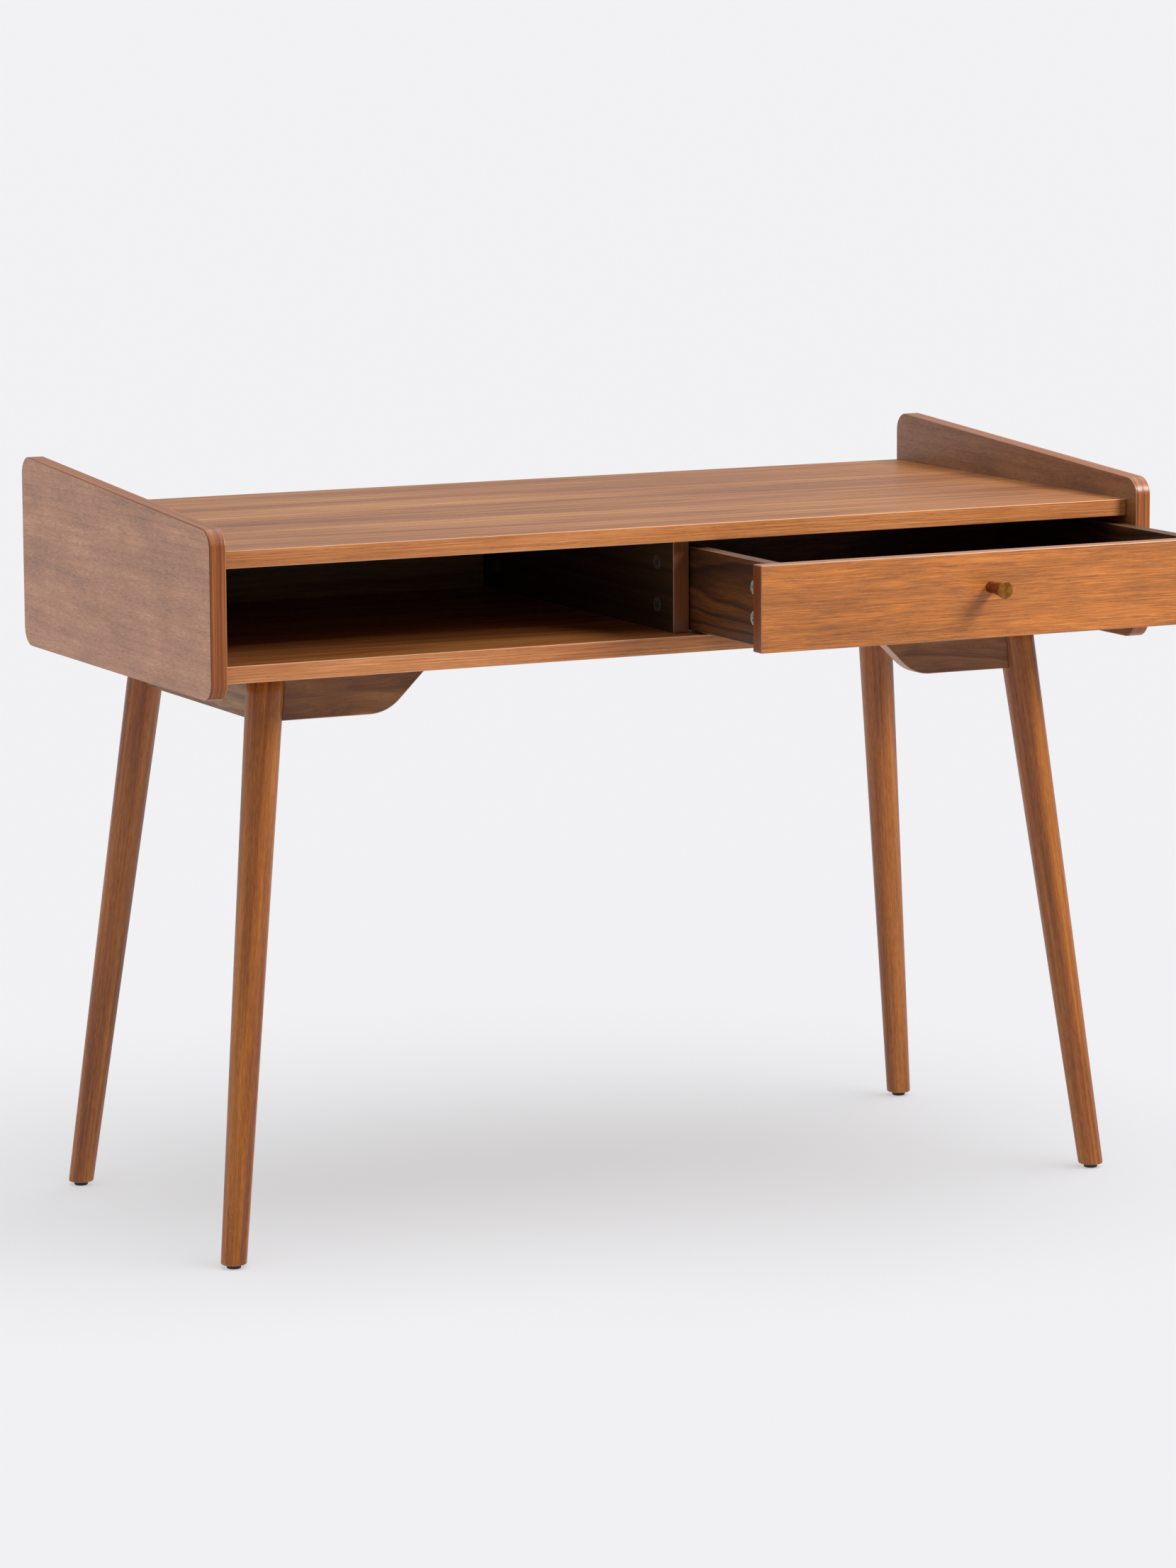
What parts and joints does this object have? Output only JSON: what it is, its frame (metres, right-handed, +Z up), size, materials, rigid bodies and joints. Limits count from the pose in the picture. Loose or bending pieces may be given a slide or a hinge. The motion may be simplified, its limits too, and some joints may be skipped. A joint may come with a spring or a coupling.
{
  "type": "kneehole desk",
  "caption": "Writing desk with raised rounded side panels, an open niche, a drawer with a turned knob and splayed tapered round legs on a bracketed frame.",
  "frame": {"origin": "on the floor, under the centre of the box over the desk with its drawer partly open", "axes": "+X along the desk to the user's right, +Y from the user's side to the back, +Z up"},
  "size_m": [1.1, 0.713, 0.7997],
  "materials": {
    "walnut_veneer": "walnut-stained veneer under a satin lacquer",
    "walnut_stained_wood": "solid hardwood stained walnut under a satin lacquer",
    "drawer_wood": "dark walnut foil on fibreboard",
    "beech_dowel": "bare fluted beech",
    "zinc_fitting": "cast zinc",
    "plated_steel": "zinc-plated steel",
    "aged_brass": "dull aged brass",
    "foot_plastic": "moulded dark brown plastic",
    "nylon": "moulded nylon",
    "bumper_rubber": "soft clear rubber"
  },
  "bodies": {
    "desk": {"left_side_panel": "walnut_veneer", "right_side_panel": "walnut_veneer", "top_board": "walnut_veneer", "bottom_board": "walnut_veneer", "divider": "walnut_veneer", "front_left_leg": "walnut_stained_wood", "rear_left_leg": "walnut_stained_wood", "front_right_leg": "walnut_stained_wood", "rear_right_leg": "walnut_stained_wood", "left_side_rail": "walnut_stained_wood", "right_side_rail": "walnut_stained_wood", "front_left_bracket": "walnut_stained_wood", "rear_left_bracket": "walnut_stained_wood", "front_right_bracket": "walnut_stained_wood", "rear_right_bracket": "walnut_stained_wood", "back_panel": "drawer_wood", "case_dowels": "beech_dowel", "frame_dowels": "beech_dowel", "board_cams": "zinc_fitting", "divider_cams": "zinc_fitting", "board_cam_bolts": "plated_steel", "divider_cam_bolts": "plated_steel", "frame_bolts": "plated_steel", "insert_nuts": "plated_steel", "foot_pad_nails": "plated_steel", "drawer_track": "plated_steel", "drawer_track_screws": "plated_steel", "foot_pads": "foot_plastic", "drawer_glides": "nylon"},
    "drawer": {"drawer_front": "walnut_veneer", "drawer_left_side": "drawer_wood", "drawer_right_side": "drawer_wood", "drawer_back": "drawer_wood", "drawer_bottom": "drawer_wood", "drawer_dowels": "beech_dowel", "drawer_cams": "zinc_fitting", "drawer_cam_bolts": "plated_steel", "drawer_back_screws": "plated_steel", "drawer_bottom_screws": "plated_steel", "drawer_guide_screws": "plated_steel", "drawer_guide": "nylon", "drawer_bumpers": "bumper_rubber", "knob": "aged_brass", "knob_screw": "plated_steel"}
  },
  "joints": [
    {"name": "drawer_slide", "type": "slide", "parent": "desk", "child": "drawer", "axis": [0, -1, 0], "range_m": [-0.175, 0.145]}
  ]
}
